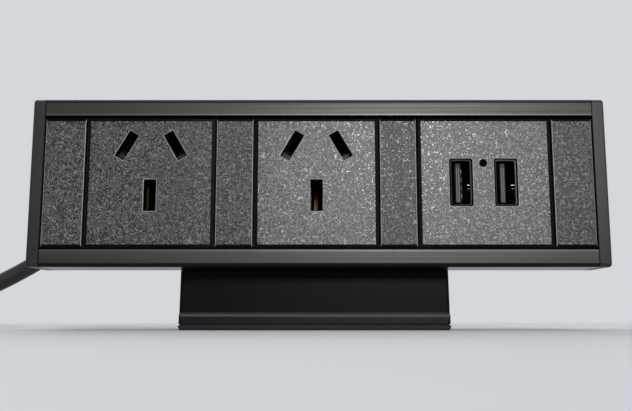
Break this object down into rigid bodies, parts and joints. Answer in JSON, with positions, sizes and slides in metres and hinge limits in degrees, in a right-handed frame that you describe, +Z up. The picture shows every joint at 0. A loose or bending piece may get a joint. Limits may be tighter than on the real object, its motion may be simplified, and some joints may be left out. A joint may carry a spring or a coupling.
{
  "type": "desk power unit",
  "caption": "Desk power unit: a dark bar-shaped housing on a small stand, with three-pin socket outlets, USB charging ports, blank panels and a mains lead with plug.",
  "frame": {"origin": "on the desk, below the middle of the unit's bounding box, its cord and plug left out", "axes": "+X along the housing to the right as seen from the front, +Y to the back, +Z up"},
  "size_m": [0.3161, 0.159, 0.0653],
  "materials": {
    "anodised_aluminium": "dark anodised, fine drawn lines along the length",
    "cap_plastic": "satin moulded",
    "black_screw": "black oxide",
    "blank_plastic": "fine moulded grain",
    "panel_plastic": "fine moulded grain",
    "inner_plastic": "smooth",
    "shutter_plastic": "smooth",
    "spring_steel": "bright",
    "brass": "stamped",
    "plated_steel": "nickel plated",
    "tongue_plastic": "smooth",
    "gold_contact": "gold plated",
    "lamp_lens": "smoked clear",
    "circuit_board": "lacquered",
    "transformer_core": "ferrite",
    "capacitor_sleeve": "sleeved",
    "breaker_plastic": "smooth",
    "button_plastic": "smooth",
    "cord_rubber": "satin PVC",
    "pin_metal": "plated",
    "stand_plastic": "satin moulded",
    "stand_metal": "satin black coating",
    "pad_rubber": "matt"
  },
  "bodies": {
    "housing": {"housing_extrusion": "anodised_aluminium", "end_cap_left": "cap_plastic", "end_cap_right": "cap_plastic", "end_cap_screws": "black_screw", "blank_panel_1": "blank_plastic", "blank_panel_2": "blank_plastic", "blank_panel_3": "blank_plastic", "blank_panel_4": "blank_plastic", "socket_face_1": "panel_plastic", "socket_face_2": "panel_plastic", "socket_rear_1": "inner_plastic", "socket_rear_2": "inner_plastic", "shutter_spring_1": "spring_steel", "shutter_spring_2": "spring_steel", "active_contact_1": "brass", "active_contact_2": "brass", "neutral_contact_1": "brass", "neutral_contact_2": "brass", "earth_contact_1": "brass", "earth_contact_2": "brass", "socket_screws": "plated_steel", "charger_face": "panel_plastic", "usb_shell_left": "plated_steel", "usb_shell_right": "plated_steel", "usb_tongue_left": "tongue_plastic", "usb_tongue_right": "tongue_plastic", "usb_contacts": "gold_contact", "charger_lamp": "lamp_lens", "charger_board": "circuit_board", "charger_transformer": "transformer_core", "charger_capacitor": "capacitor_sleeve", "charger_rear_cover": "inner_plastic", "overload_breaker": "breaker_plastic", "breaker_nut": "plated_steel", "cord_gland": "inner_plastic", "gland_nut": "inner_plastic", "strain_relief": "cord_rubber", "power_cord": "cord_rubber", "cord_coil": "cord_rubber", "cord_tail": "cord_rubber", "plug_body": "cord_rubber", "plug_pins": "pin_metal", "stand_neck": "stand_plastic", "stand_base": "stand_metal", "stand_pad": "pad_rubber", "stand_screws": "plated_steel", "stand_nuts": "plated_steel"},
    "shutter_1": {"shutter_1": "shutter_plastic"},
    "shutter_2": {"shutter_2": "shutter_plastic"},
    "reset_button": {"reset_button": "button_plastic"}
  },
  "joints": [
    {"name": "shutter_1_slide", "type": "slide", "parent": "housing", "child": "shutter_1", "axis": [0, 0, -1], "range_m": [0, 0.0032], "stiffness_N_per_m": 250, "springref_m": -0.001, "deforming": ["shutter_spring_1"]},
    {"name": "shutter_2_slide", "type": "slide", "parent": "housing", "child": "shutter_2", "axis": [0, 0, -1], "range_m": [0, 0.0032], "stiffness_N_per_m": 250, "springref_m": -0.001, "deforming": ["shutter_spring_2"]},
    {"name": "reset_button_slide", "type": "slide", "parent": "housing", "child": "reset_button", "axis": [0, 1, 0], "range_m": [0, 0.003]}
  ]
}
